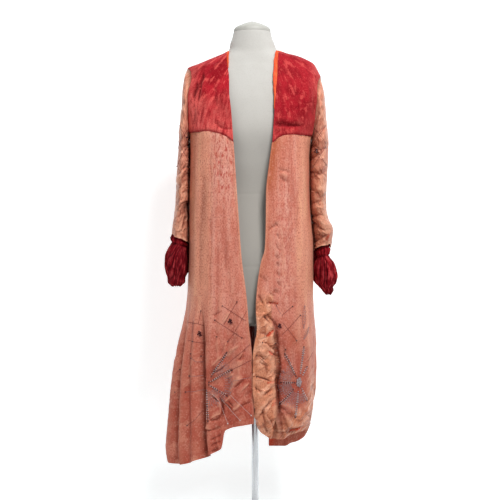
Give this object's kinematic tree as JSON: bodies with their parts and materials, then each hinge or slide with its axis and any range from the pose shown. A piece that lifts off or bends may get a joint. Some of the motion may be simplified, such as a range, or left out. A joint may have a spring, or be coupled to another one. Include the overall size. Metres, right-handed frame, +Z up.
{
  "type": "opera coat on dress form stand",
  "caption": "Long open opera coat with a velvet yoke, narrow sleeves, gathered cuffs and pleated side flares, worn on a limbless dress form with a pole and a round base.",
  "frame": {"origin": "on the floor, at the middle of the base's underside, on the pole's axis", "axes": "+Z up along the pole, -Y towards the coat's open front, +X towards the wearer's left"},
  "size_m": [0.5184, 0.38, 1.5024],
  "materials": {
    "salmon_silk": "worn satin-backed silk velvet",
    "crimson_velvet": "short velvet pile",
    "dark_velvet": "gathered velvet",
    "orange_satin": "satin",
    "grey_jersey": "stretched jersey",
    "neck_cap": "satin paint",
    "chrome": "polished",
    "painted_steel": "satin paint"
  },
  "bodies": {
    "root": {"coat_front_right": "salmon_silk", "coat_front_left": "salmon_silk", "coat_back": "salmon_silk", "side_flare_right": "salmon_silk", "side_flare_left": "salmon_silk", "hem_band_left": "salmon_silk", "sleeve_right": "salmon_silk", "sleeve_left": "salmon_silk", "yoke_front_right": "crimson_velvet", "yoke_front_left": "crimson_velvet", "yoke_back": "crimson_velvet", "cuff_right": "dark_velvet", "cuff_left": "dark_velvet", "neck_binding": "orange_satin", "form_torso": "grey_jersey", "form_neck_cap": "neck_cap", "stand_pole": "chrome", "stand_base": "painted_steel"}
  },
  "joints": []
}
